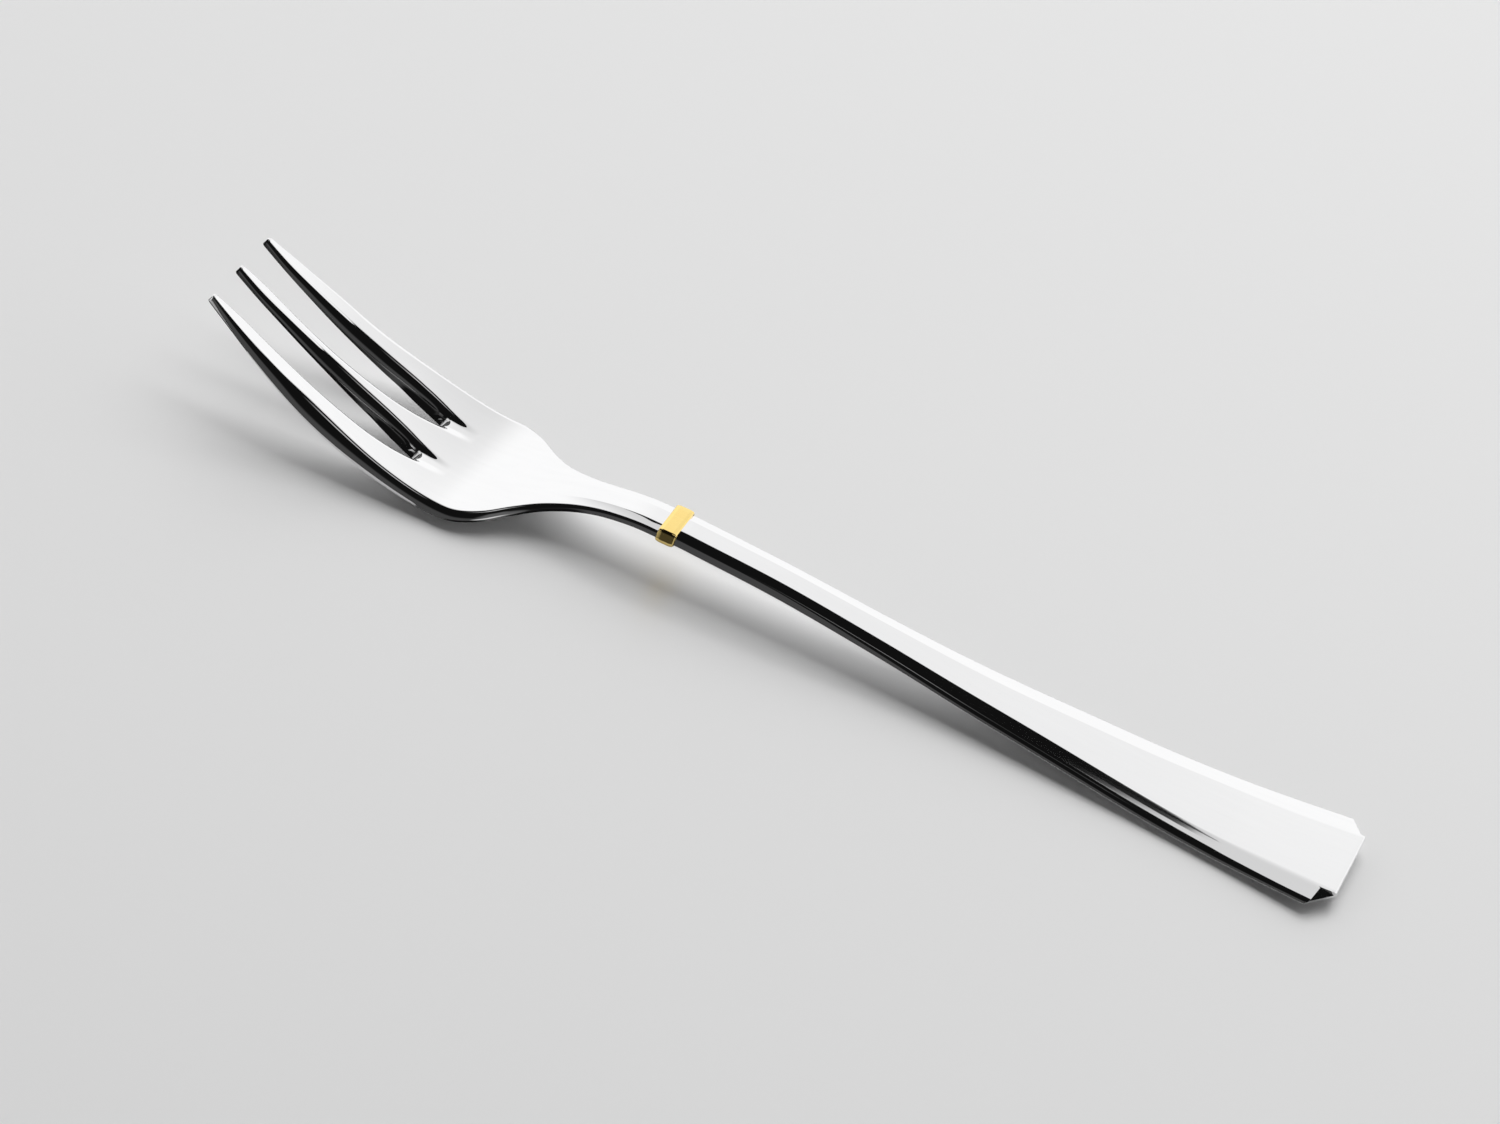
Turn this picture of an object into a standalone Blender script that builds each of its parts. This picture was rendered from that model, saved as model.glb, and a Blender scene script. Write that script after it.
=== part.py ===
"""Cake fork in polished steel, 150 mm long, with a gold collar at the neck.

The head (three tines, bowl, neck and tang) and the handle are two steel forgings. The tang sits in a
blind socket in the handle, and the collar is a closed ring that covers the joint between the two.
X runs from the tine tips (minus) to the end of the handle (plus), Y across, Z up from the table.
"""

import math

import bmesh
import bpy
import numpy as np

# Lengths along the fork, in metres, from the tine tips unless the name says otherwise
LENGTH = 0.1500
THICKEST_TINE_AT = 0.0176
SLOT_ROOT_AT = 0.0294
BOWL_LOW_AT = 0.0340
SHOULDER_START_AT = 0.0345
SHOULDER_END_AT = 0.0510
JOINT_AT = 0.0605
REST_FROM_END = 0.0190
REST_LENGTH = 0.0080

# Heights above the table
TIP_HEIGHT = 0.0150
BOWL_RIM_HEIGHT = 0.00235
SHANK_HEIGHT = 0.0069
END_LIFT = 0.0007

# The head: widths, thicknesses and the dish of the bowl
HEAD_WIDTH = 0.0220
TIP_SPREAD = 0.0150
RIM_THICKNESS = 0.0014
TIP_THICKNESS = 0.0009
TINE_THICKNESS = 0.0022
DISH = 0.0005

# The slots between the tines
SLOT_ROOT_WIDTH = 0.0020
SLOT_MID_WIDTH = 0.0043
SLOT_TIP_WIDTH = 0.0060
SLOT_ROOT_OFFSET = 0.0039
SLOT_TIP_OFFSET = 0.00355

# The shank: the section that neck and handle share where they meet under the collar
SHANK_WIDTH = 0.0058
SHANK_FLAT = 0.0026
SHANK_UNDER_FLAT = 0.0022
SHANK_THICKNESS = 0.0022
BEVEL_DROP = 0.0003
WALL = 0.00055

# The handle
END_WIDTH = 0.0178
END_FLAT = 0.0116
UNDER_CHAMFER = 0.0016
REST_THICKNESS = 0.0016
END_THICKNESS = 0.0011
CORNER_LENGTH = 0.0025
CORNER_WIDTH = 0.0031
FACET_LENGTH = 0.0020
FACET_STEP = 0.00012
FACET_SLOPE = math.radians(16)

# The collar, the tang and the clearances of the joint
COLLAR_LENGTH = 0.0032
COLLAR_WALL = 0.00024
COLLAR_CHAMFER = 0.0005
COLLAR_EDGE = 0.00012
TANG_LENGTH = 0.0070
TANG_WIDTH = 0.0026
TANG_HEIGHT = 0.0010
SEAT_MARGIN = 0.0006
CLEARANCE = 0.00008

# Shape of the curves, as shares of the way from one end to the other
TINE_SWEEP = 1.4
TINE_FLARE = 2.45
END_SWEEP = 1.4
HANDLE_FALL = (0.0, 0.14, 0.39, 0.65, 0.83, 1.0)
HANDLE_WIDENING = (0.0, 0.02, 0.11, 0.30, 0.53, 0.77, 1.0)
HANDLE_FLAT_WIDENING = (0.0, 0.01, 0.08, 0.23, 0.49, 0.79, 1.0)

# Rings of the lofts
HEAD_RINGS = 40
FALL_RINGS = 20
TURN_UP_RINGS = 6
TOP_STEPS = (0.0, 0.22, SHANK_FLAT / SHANK_WIDTH, 0.72, 1.0)
UNDER_STEPS = (1.0, 0.8, SHANK_UNDER_FLAT / SHANK_WIDTH, 0.3, 0.0)

# Places that follow from the sizes
MIDDLE = LENGTH / 2
BOWL_BELLY = BOWL_RIM_HEIGHT - RIM_THICKNESS
SEAT_LENGTH = COLLAR_LENGTH / 2 + SEAT_MARGIN
REST_CENTRE_AT = LENGTH - REST_FROM_END
REST_START_AT = REST_CENTRE_AT - REST_LENGTH / 2
REST_END_AT = REST_CENTRE_AT + REST_LENGTH / 2


def smooth_step(start, end, value):
    """0 before start, 1 after end, and an S-shaped rise between them."""
    share = min(1.0, max(0.0, (value - start) / (end - start)))
    return share * share * (3 - 2 * share)


def mix(first, second, share):
    return first + (second - first) * share


def along(values, share):
    """A smooth curve through evenly spaced values, read at a share from 0 to 1."""
    last = len(values) - 1
    place = min(1.0, max(0.0, share)) * last
    index = min(int(place), last - 1)
    step = place - index
    before = values[max(index - 1, 0)]
    start, end = values[index], values[index + 1]
    after = values[min(index + 2, last)]
    start_slope = (end - before) / 2
    end_slope = (after - start) / 2
    rise = start_slope * (step - 2 * step**2 + step**3) + end_slope * (step**3 - step**2)
    return start + (end - start) * (3 * step**2 - 2 * step**3) + rise


def mirrored_ring(half):
    """A closed ring from its +Y half, which runs from the top to the underside."""
    other = [(x, -y, z) for x, y, z in reversed(half) if y > 0]
    return half + other


def grown(ring, by):
    """The ring of a convex section moved outwards by a distance, corner by corner."""
    points = np.array(ring)
    flat = points[:, 1:]
    moved = []
    for index, here in enumerate(flat):
        before, after = flat[index - 1], flat[(index + 1) % len(flat)]
        first = (here - before) / np.linalg.norm(here - before)
        second = (after - here) / np.linalg.norm(after - here)
        normals = np.array([(-first[1], first[0]), (-second[1], second[0])])
        corner = normals.sum(axis=0) / (1 + normals[0] @ normals[1])
        moved.append((points[index, 0], *(here + by * corner)))
    return moved


def new_object(name, mesh, collection, colour=None, roughness=0.3):
    """An object in its collection, with a metal of its own, or a cutter if it has no colour."""
    thing = bpy.data.objects.new(name, mesh)
    collection.objects.link(thing)
    if colour is None:
        thing.hide_render = True
        thing.display_type = "WIRE"
        return thing
    material = bpy.data.materials.new(name + "_metal")
    material.use_nodes = True
    shader = material.node_tree.nodes["Principled BSDF"]
    shader.inputs["Base Color"].default_value = (*colour, 1.0)
    shader.inputs["Metallic"].default_value = 1.0
    shader.inputs["Roughness"].default_value = roughness
    mesh.materials.append(material)
    return thing


def loft(name, rings, closed=False):
    """A skin over rings of equally many points, capped at both ends or closed on itself."""
    body = bmesh.new()
    rows = [[body.verts.new((x - MIDDLE, y, z)) for x, y, z in ring] for ring in rings]
    pairs = list(zip(rows, rows[1:] + rows[:1])) if closed else list(zip(rows, rows[1:]))
    for near, far in pairs:
        for index in range(len(near)):
            after = (index + 1) % len(near)
            body.faces.new((near[index], far[index], far[after], near[after]))
    if not closed:
        body.faces.new(rows[0])
        body.faces.new(list(reversed(rows[-1])))
    bmesh.ops.recalc_face_normals(body, faces=body.faces)
    mesh = bpy.data.meshes.new(name)
    body.to_mesh(mesh)
    body.free()
    return mesh


def box(name, low, high):
    """A box between two corners, with x measured from the tine tips."""
    body = bmesh.new()
    bmesh.ops.create_cube(body, size=1.0)
    for vert in body.verts:
        place = [mix(a, b, share + 0.5) for a, b, share in zip(low, high, vert.co)]
        vert.co = (place[0] - MIDDLE, place[1], place[2])
    mesh = bpy.data.meshes.new(name)
    body.to_mesh(mesh)
    body.free()
    return mesh


def boolean(thing, operation, other):
    cut = thing.modifiers.new(other.name, "BOOLEAN")
    cut.operation = operation
    cut.object = other


def shank_height(u):
    """Height of the shank's top face above its rim, at a share u of the half width."""
    return BEVEL_DROP * min(1.0, (1 - u) / (1 - SHANK_FLAT / SHANK_WIDTH))


def shank_depth(u):
    """Depth of the shank's underside below its rim, at a share u of the half width."""
    under = SHANK_THICKNESS - BEVEL_DROP - WALL
    return WALL + under * min(1.0, (1 - u) / (1 - SHANK_UNDER_FLAT / SHANK_WIDTH))


def rim_height(x):
    """Height of the head's upper rim: a sweep up to the tips, and a rise to the shank."""
    if x < BOWL_LOW_AT:
        share = (BOWL_LOW_AT - x) / BOWL_LOW_AT
        return BOWL_RIM_HEIGHT + (TIP_HEIGHT - BOWL_RIM_HEIGHT) * share**TINE_SWEEP
    rise = smooth_step(BOWL_LOW_AT, JOINT_AT - SEAT_LENGTH, x)
    return mix(BOWL_RIM_HEIGHT, SHANK_HEIGHT - BEVEL_DROP, rise)


def head_half_width(x):
    if x < BOWL_LOW_AT:
        share = 1 - x / BOWL_LOW_AT
        return HEAD_WIDTH / 2 - (HEAD_WIDTH - TIP_SPREAD) / 2 * share**TINE_FLARE
    return mix(HEAD_WIDTH, SHANK_WIDTH, smooth_step(SHOULDER_START_AT, SHOULDER_END_AT, x)) / 2


def rim_thickness(x):
    """Thickness at the rim: thin tips, strong tines, and a slim rim round the bowl."""
    if x < THICKEST_TINE_AT:
        return mix(TIP_THICKNESS, TINE_THICKNESS, smooth_step(0.0, THICKEST_TINE_AT, x))
    return mix(TINE_THICKNESS, RIM_THICKNESS, smooth_step(THICKEST_TINE_AT, BOWL_LOW_AT, x))


def head_ring(x):
    """Section of the head, set square to the sweep of the rim."""
    ahead = 1e-5
    slope = (rim_height(x + ahead) - rim_height(x - ahead)) / (2 * ahead)
    lean = math.atan(slope)
    width = head_half_width(x)
    rim = rim_height(x)
    thickness = rim_thickness(x)
    dish = DISH * smooth_step(0.0, SLOT_ROOT_AT / 2, x)
    belly = BOWL_BELLY * smooth_step(SLOT_ROOT_AT / 2, BOWL_LOW_AT, x)
    neck = smooth_step(SHOULDER_START_AT, SHOULDER_END_AT, x)
    half = []
    for u in TOP_STEPS:
        up = mix(-dish * (1 - u * u), shank_height(u), neck)
        half.append((x - up * math.sin(lean), u * width, rim + up * math.cos(lean)))
    for u in UNDER_STEPS:
        down = mix(thickness + belly * (1 - u * u), shank_depth(u), neck)
        half.append((x + down * math.sin(lean), u * width, rim - down * math.cos(lean)))
    return mirrored_ring(half)


def slot_outline():
    """Plan of one slot, from its round root out past the tips, as (x, y) points."""
    radius = SLOT_ROOT_WIDTH / 2
    root = SLOT_ROOT_AT - radius
    arc = [math.pi / 2 - math.pi * step / 8 for step in range(9)]
    end = [(root + radius * math.cos(turn), SLOT_ROOT_OFFSET + radius * math.sin(turn)) for turn in arc]
    # Distance from the root as a share of the tine, with the slot's width there
    steps = ((0.15, 0.86), (0.32, 0.94), (0.5, 1.0), (0.7, 1.08), (0.86, 1.16))
    sides = [(share, part * SLOT_MID_WIDTH) for share, part in steps]
    sides += [(1.0, SLOT_TIP_WIDTH), (1.2, SLOT_TIP_WIDTH)]
    inner, outer = [], []
    for share, width in sides:
        centre = mix(SLOT_ROOT_OFFSET, SLOT_TIP_OFFSET, min(1.0, 2 * share))
        inner.append((root * (1 - share), centre - width / 2))
        outer.append((root * (1 - share), centre + width / 2))
    return list(reversed(outer)) + end + inner


def slot_cutter(name, side, collection):
    """A slot's outline made solid, tall enough to pass through the tines."""
    curve = bpy.data.curves.new(name, "CURVE")
    curve.dimensions = "2D"
    curve.fill_mode = "BOTH"
    curve.extrude = TIP_HEIGHT
    points = slot_outline()
    spline = curve.splines.new("POLY")
    spline.points.add(len(points) - 1)
    for point, (x, y) in zip(spline.points, points):
        point.co = (x - MIDDLE, side * y, 0.0, 1.0)
    spline.use_cyclic_u = True
    flat = bpy.data.objects.new(name + "_outline", curve)
    collection.objects.link(flat)
    bpy.context.view_layer.update()
    mesh = bpy.data.meshes.new_from_object(flat.evaluated_get(bpy.context.evaluated_depsgraph_get()))
    bpy.data.objects.remove(flat)
    solid = bmesh.new()
    solid.from_mesh(mesh)
    bmesh.ops.remove_doubles(solid, verts=solid.verts, dist=1e-6)
    bmesh.ops.recalc_face_normals(solid, faces=solid.faces)
    solid.to_mesh(mesh)
    solid.free()
    cutter = new_object(name, mesh, collection)
    cutter.location.z = TIP_HEIGHT / 2
    return cutter


def shank_ring(x):
    """The shank's own section at x, as eight corners."""
    top, rim = SHANK_HEIGHT, SHANK_HEIGHT - BEVEL_DROP
    half = [
        (x, SHANK_FLAT / 2, top),
        (x, SHANK_WIDTH / 2, rim),
        (x, SHANK_WIDTH / 2, rim - WALL),
        (x, SHANK_UNDER_FLAT / 2, top - SHANK_THICKNESS),
    ]
    return mirrored_ring(half)


def handle_ring(x):
    """Section of the handle: flat top, side bevels, thin walls and a chamfered underside."""
    start = JOINT_AT + SEAT_LENGTH
    fall = along(HANDLE_FALL, (x - start) / (REST_START_AT - start))
    share = (x - start) / (LENGTH - start)
    turn_up = max(0.0, (x - REST_END_AT) / (LENGTH - REST_END_AT)) ** END_SWEEP
    top = mix(SHANK_HEIGHT, REST_THICKNESS, fall) + END_LIFT * turn_up
    under = mix(SHANK_HEIGHT - SHANK_THICKNESS, 0.0, fall)
    under += (END_LIFT + REST_THICKNESS - END_THICKNESS) * turn_up
    width = mix(SHANK_WIDTH, END_WIDTH, along(HANDLE_WIDENING, share)) / 2
    flat = mix(SHANK_FLAT, END_FLAT, along(HANDLE_FLAT_WIDENING, share)) / 2
    chamfer = mix((SHANK_WIDTH - SHANK_UNDER_FLAT) / 2, UNDER_CHAMFER, min(1.0, 2 * max(0.0, share)))
    rim = top - BEVEL_DROP
    half = [
        (x, flat, top),
        (x, width, rim),
        (x, width, rim - WALL),
        (x, width - chamfer, under),
    ]
    return mirrored_ring(half)


def corner_cutter(name, side, collection):
    """The prism beyond the slanting corner of the handle's end."""
    reach = 2 * CORNER_WIDTH
    length, width = CORNER_LENGTH, CORNER_WIDTH
    tall = 4 * REST_THICKNESS
    edge = END_WIDTH / 2
    slant = [(LENGTH - length, edge), (LENGTH, edge - width)]
    ahead = (slant[1][0] - slant[0][0], slant[1][1] - slant[0][1])
    ends = [
        (slant[0][0] - ahead[0], slant[0][1] - ahead[1]),
        (slant[1][0] + ahead[0], slant[1][1] + ahead[1]),
    ]
    plan = ends + [(ends[1][0] + reach, ends[1][1]), (ends[0][0] + reach, ends[0][1])]
    rings = [[(x, side * y, z) for x, y in plan] for z in (-tall, tall)]
    return new_object(name, loft(name, rings), collection)


def facet_cutter(name, side, collection):
    """The wedge that sinks the corner's triangular facet below the top face and slopes it outwards."""
    inner_x, inner_y = LENGTH - FACET_LENGTH, END_FLAT / 2
    reach = 2 * CORNER_WIDTH
    tall = 4 * REST_THICKNESS
    top = handle_ring(inner_x)[0][2] - FACET_STEP
    fall = math.tan(FACET_SLOPE) / math.hypot(CORNER_LENGTH, CORNER_WIDTH)
    corners = ((0, 0), (reach, 0), (reach, reach), (0, reach))
    floor, roof = [], []
    for ahead, out in corners:
        depth = fall * (ahead * CORNER_WIDTH + out * CORNER_LENGTH)
        floor.append((inner_x + ahead, side * (inner_y + out), top - depth))
        roof.append((inner_x + ahead, side * (inner_y + out), tall))
    return new_object(name, loft(name, [floor, roof]), collection)


def tang_box(name, growth, start):
    """The tang's box, or its socket when it is grown by the clearance."""
    middle = SHANK_HEIGHT - SHANK_THICKNESS / 2
    half_width = TANG_WIDTH / 2 + growth
    half_height = TANG_HEIGHT / 2 + growth
    low = (start, -half_width, middle - half_height)
    high = (JOINT_AT + TANG_LENGTH + growth, half_width, middle + half_height)
    return box(name, low, high)


def make_head(parts, cutters):
    first = TIP_THICKNESS / 2
    curved = np.linspace(first, JOINT_AT - SEAT_LENGTH, HEAD_RINGS)
    rings = [head_ring(x) for x in (*curved, JOINT_AT - CLEARANCE / 2)]
    head = new_object("fork_head", loft("fork_head", rings), parts, (0.86, 0.86, 0.87), 0.08)
    for side, name in ((-1, "near_slot"), (1, "far_slot")):
        boolean(head, "DIFFERENCE", slot_cutter(name, side, cutters))
    tang = new_object("tang", tang_box("tang", 0.0, JOINT_AT - SEAT_LENGTH), cutters)
    boolean(head, "UNION", tang)


def make_handle(parts, cutters):
    start = JOINT_AT + SEAT_LENGTH
    falling = np.linspace(start, REST_START_AT, FALL_RINGS)
    turning_up = np.linspace(REST_END_AT, LENGTH, TURN_UP_RINGS)
    rings = [shank_ring(JOINT_AT + CLEARANCE / 2)]
    rings += [handle_ring(x) for x in (*falling, *turning_up)]
    handle = new_object("handle", loft("handle", rings), parts, (0.86, 0.86, 0.87), 0.08)
    for side, name in ((-1, "near"), (1, "far")):
        boolean(handle, "DIFFERENCE", corner_cutter(name + "_corner", side, cutters))
        boolean(handle, "DIFFERENCE", facet_cutter(name + "_facet", side, cutters))
    socket = new_object("socket", tang_box("socket", CLEARANCE, JOINT_AT - SEAT_LENGTH), cutters)
    boolean(handle, "DIFFERENCE", socket)


def make_collar(parts):
    half = COLLAR_LENGTH / 2
    outside = (
        (-half, COLLAR_EDGE),
        (-half + COLLAR_CHAMFER, COLLAR_WALL),
        (half - COLLAR_CHAMFER, COLLAR_WALL),
        (half, COLLAR_EDGE),
    )
    rings = [grown(shank_ring(JOINT_AT + offset), CLEARANCE + wall) for offset, wall in outside]
    rings += [grown(shank_ring(JOINT_AT + offset), CLEARANCE) for offset in (half, -half)]
    new_object("gold_collar", loft("gold_collar", rings, closed=True), parts, (0.95, 0.66, 0.22), 0.12)


for leftover in list(bpy.data.objects):
    bpy.data.objects.remove(leftover, do_unlink=True)
fork_parts = bpy.data.collections.new("cake_fork")
fork_cutters = bpy.data.collections.new("cutters")
for group in (fork_parts, fork_cutters):
    bpy.context.scene.collection.children.link(group)
make_head(fork_parts, fork_cutters)
make_handle(fork_parts, fork_cutters)
make_collar(fork_parts)
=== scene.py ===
from math import pi, radians, sin, tan

import bmesh
import bpy
import numpy as np
from mathutils import Matrix, Quaternion, Vector


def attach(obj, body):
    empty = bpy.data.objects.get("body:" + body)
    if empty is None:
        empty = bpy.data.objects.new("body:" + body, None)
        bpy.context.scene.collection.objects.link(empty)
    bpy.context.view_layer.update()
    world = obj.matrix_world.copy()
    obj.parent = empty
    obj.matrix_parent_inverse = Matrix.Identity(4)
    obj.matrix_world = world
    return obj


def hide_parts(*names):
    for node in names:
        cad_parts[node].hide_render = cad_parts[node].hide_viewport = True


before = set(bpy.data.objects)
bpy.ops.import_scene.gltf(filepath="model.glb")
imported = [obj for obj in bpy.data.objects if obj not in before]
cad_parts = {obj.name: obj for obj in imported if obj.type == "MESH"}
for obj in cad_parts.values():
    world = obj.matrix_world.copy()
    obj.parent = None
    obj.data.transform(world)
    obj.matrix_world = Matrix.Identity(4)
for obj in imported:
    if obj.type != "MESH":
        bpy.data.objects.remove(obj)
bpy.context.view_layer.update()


# The fork head: tines, bowl and neck, forged from one bar of stainless steel. The slots between
# the tines are pressed out, the edges are rounded over and everything is buffed to a mirror.
# A tang at the back of the neck goes into the handle.

# Sizes are in millimetres, and places are measured from the tine tips along the fork.
MM = 0.001
FORK_LENGTH = 150.0
TIPS = -0.5 * FORK_LENGTH * MM
JOINT = 60.5
BOWL_LOW = 34.0
TIP_HEIGHT = 15.0
BOWL_RIM = 2.35
BOWL_EASE = 0.1
LOW_EASE = 0.08
SWEEP_POWER = 1.4
NECK_HEIGHT = 6.9
HEAD_WIDTH = 21.8
TIP_SPREAD = 15.0
SPREAD_POWER = 2.45
NECK_WIDTH = 5.8
NECK_FLAT = 2.6
NECK_UNDER_FLAT = 2.2
NECK_THICKNESS = 2.2
NECK_START = 34.5
NECK_FORMED = 51.0
BEVEL_DROP = 0.3
BEVEL_FULL = 0.62
CREASE_REACH = 0.07
RIM_WALL = 0.8
RIM_THICKNESS = 1.3
DISH = 0.22
UNDER_ROUND = 0.5
UNDER_DROP = 0.3
SPLAY_LIMIT = 0.62
SEAT = 2.2
SLOT_ROOT = 29.4
ROOT_RADIUS = 1.0
ROOT_OFFSET = 3.9
ROOT_REACH = 3.8
FLUTE_START = SLOT_ROOT - 2.5
FLUTE_FORMED = SLOT_ROOT - 0.8
FLUTE_LAP = 0.2
EDGE_TURN = 0.75
ROUND_LIMIT = 0.97
TIP_START = 0.45
TIP_ROUND = 0.35
TIP_BLUNT = 0.12
TIP_SQUEEZE = 0.8
TANG_LENGTH = 7.0
TANG_WIDTH = 2.6
TANG_HEIGHT = 1.0


def ramp(start, end, value):
    """A smooth step from 0 to 1."""
    share = np.clip((value - start) / (end - start), 0, 1)
    return share * share * (3 - 2 * share)


def mix(first, second, share):
    return first + (second - first) * share


def through(*points):
    """A smooth curve through points of (place, size)."""
    place = np.array([point[0] for point in points], float)
    size = np.array([point[1] for point in points], float)
    slope = np.gradient(size, place)

    def curve(x):
        x = np.clip(x, place[0], place[-1])
        i = np.clip(np.searchsorted(place, x, side="right") - 1, 0, len(place) - 2)
        step = place[i + 1] - place[i]
        s = (x - place[i]) / step
        rise = s * s * (3 - 2 * s)
        bend = s * (1 - s) ** 2 * slope[i] - s * s * (1 - s) * slope[i + 1]
        return mix(size[i], size[i + 1], rise) + bend * step

    return curve


# How the head changes along its length. Each curve goes through points of (place, size).
slot_width = through((0, 6.0), (4, 5.0), (8.5, 4.64), (14.2, 4.3), (19.3, 4.0), (24.1, 3.6),
                     (27, 2.75), (28.4, 2.0), (30, 1.5), (33, 1.0))
slot_offset = through((0, 3.55), (14.2, 3.55), (19.3, 3.68), (24.1, 3.8), (28.4, ROOT_OFFSET),
                      (33, ROOT_OFFSET))
slot_round = through((0, 0.4), (4, 0.65), (8, 0.9), (15, 1.25), (20, 1.25), (25, 1.05), (29.4, 0.9),
                     (33, 0.8))
slot_drop = through((0, 0.4), (8, 0.58), (16, 0.62), (24, 0.6), (27, 0.55), (28.4, 0.4), (29.4, 0.2),
                    (31, 0.06), (33, 0.0))
slot_splay = through((0, 0.42), (20, 0.42), (22, 0.5), (24, 0.75), (27, 0.83), (28.4, 0.6),
                     (29.4, 0.45), (33, 0.45))
outer_round = through((0, 0.3), (4, 0.62), (8, 0.9), (12, 1.2), (15, 1.55), (18, 1.6), (21, 1.45),
                      (25, 1.2), (30, 1.05), (36, 1.0), (42, 0.9), (46, 0.6), (52, 0.42), (62, 0.3))
outer_drop = through((0, 0.8), (4, 0.87), (8, 0.9), (15, 0.9), (21, 0.83), (25, 0.76), (30, 0.77),
                     (36, 0.8), (42, 0.78), (46, 0.55), (52, 0.4), (62, 0.35))
outer_splay = through((0, 0.28), (33, 0.28), (38, 0.5), (47, 0.5), (52, 0.35), (62, 0.35))
tine_thickness = through((0, 0.9), (4, 0.95), (8, 1.2), (12, 1.5), (17.6, 1.8), (24, 1.75), (29, 1.5),
                         (34, RIM_THICKNESS), (62, RIM_THICKNESS))
ridge_share = through((0, 0.935), (4, 0.865), (10, 0.81), (15, 0.785), (20, 0.77), (28, 0.745),
                      (33, 0.72), (42, 0.55), (50, NECK_FLAT / NECK_WIDTH), (62, NECK_FLAT / NECK_WIDTH))
shoulders = through((33, HEAD_WIDTH / 2), (34, HEAD_WIDTH / 2), (37, 10.65), (40, 9.05), (42.3, 6.95),
                    (45, 4.9), (48, 3.65), (51.5, 3.0), (55, NECK_WIDTH / 2), (62, NECK_WIDTH / 2))
neck_crown = through((33, 0.208), (51, 0.208), (55, 0.2), (58, 0.18), (60, 0.17), (62, 0.17))
crease_hollow = through((46, 0), (50, 0.003), (52.5, 0.009), (54, 0.009), (56, 0.006), (58, 0.002),
                        (60, 0), (62, 0))


def outer_edge(x):
    """Half the width of the head in plan."""
    ahead = np.clip(1 - x / BOWL_LOW, 0, 1)
    tines = HEAD_WIDTH / 2 - (HEAD_WIDTH - TIP_SPREAD) / 2 * ahead ** SPREAD_POWER
    return np.where(x < BOWL_LOW, tines, shoulders(x))


def rim(x):
    """The height of the rim, which sweeps up at the tines and at the neck."""
    ahead = 1 - x / BOWL_LOW
    ahead = (np.sqrt(ahead * ahead + LOW_EASE ** 2) + ahead) / 2
    tines = (TIP_HEIGHT - BOWL_RIM + BOWL_EASE) * ahead ** SWEEP_POWER
    neck = (NECK_HEIGHT - BEVEL_DROP - BOWL_RIM) * ramp(BOWL_LOW, JOINT - SEAT, x)
    return BOWL_RIM - BOWL_EASE + tines + neck


def neck_share(x):
    """From 0 in the bowl to 1 where the neck has its full section."""
    return ramp(NECK_START, NECK_FORMED, x)


def edge_fall(distance, width):
    """How far a rounded edge has fallen, from 1 on the edge to 0 where the face begins."""
    share = EDGE_TURN * (1 - np.clip(distance / width, 0, 1))
    return (1 - np.sqrt(1 - share * share)) / (1 - np.sqrt(1 - EDGE_TURN * EDGE_TURN))


def hollow_bevel(share, full):
    """The fall of a ground bevel from its crease to its edge, a little hollow where full is under 1."""
    return full * share + (1 - full) * (1 - (1 - share) ** 2)


def tip_fullness(x):
    """From 0 at the blunt end of a tine to 1 where its full section begins."""
    share = np.clip((x - TIP_START) / TIP_ROUND, 0, 1)
    return np.sqrt(1 - (1 - share) ** 2)


def slot_fall(x, y):
    """The rounded edge beside a slot. Behind the root it runs out into the bowl as a flute."""
    gap = np.abs(np.abs(y) - slot_offset(x)) - slot_width(x) / 2
    edge = edge_fall(np.maximum(gap, 0), slot_round(x))
    groove = 1 - ramp(-FLUTE_LAP, slot_round(x), gap)
    return slot_drop(x) * mix(edge, groove, ramp(FLUTE_START, FLUTE_FORMED, x))


def head_faces(x, y, distance, fall, wall):
    """Points of both faces over a plan point, so far from an edge that has such a wall."""
    neck = neck_share(x)
    u = np.clip(np.abs(y) / outer_edge(x), 0, 1)
    thick = mix(tine_thickness(x), RIM_WALL, neck)
    blunt = TIP_BLUNT * (1 - tip_fullness(x))
    dish = DISH * ramp(0, SLOT_ROOT / 2, x) * (1 - u * u)
    flat = NECK_FLAT / NECK_WIDTH
    bevel = np.clip((u - flat) / (1 - flat), 0, 1)
    hollow = crease_hollow(x) * (1 - np.exp(-bevel / CREASE_REACH))
    crown = neck_crown(x) * (1 - hollow_bevel(bevel, BEVEL_FULL)) - hollow
    up = mix(-dish, crown, neck) - thick * fall - blunt
    belly = (BOWL_RIM - RIM_THICKNESS) * ramp(SLOT_ROOT / 2, BOWL_LOW, x) * (1 - u * u)
    keel_share = np.clip((1 - u) / (1 - NECK_UNDER_FLAT / NECK_WIDTH), 0, 1)
    keel = (NECK_THICKNESS - BEVEL_DROP - RIM_WALL) * keel_share
    turned = UNDER_DROP * thick * wall * edge_fall(distance, UNDER_ROUND)
    down = mix(thick + belly, thick + keel, neck) - turned - blunt
    step = 0.05
    lean = np.arctan((rim(x + step) - rim(x - step)) / (2 * step))
    upper = np.stack([x - up * np.sin(lean), y, rim(x) + up * np.cos(lean)], axis=-1)
    under = np.stack([x + down * np.sin(lean), y, rim(x) - down * np.cos(lean)], axis=-1)
    return [upper, under]


def splayed(rows, reach):
    """Plan rows of the underside, whose edge stands out as far as the wall above it leans."""
    run = np.linalg.norm(rows[:, -1:] - rows[:, :1], axis=-1, keepdims=True)
    left = np.linalg.norm(rows - rows[:, -1:], axis=-1, keepdims=True) / run
    return rows - (rows[:, -1:] - rows) * (reach / run) * left ** 2


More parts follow.
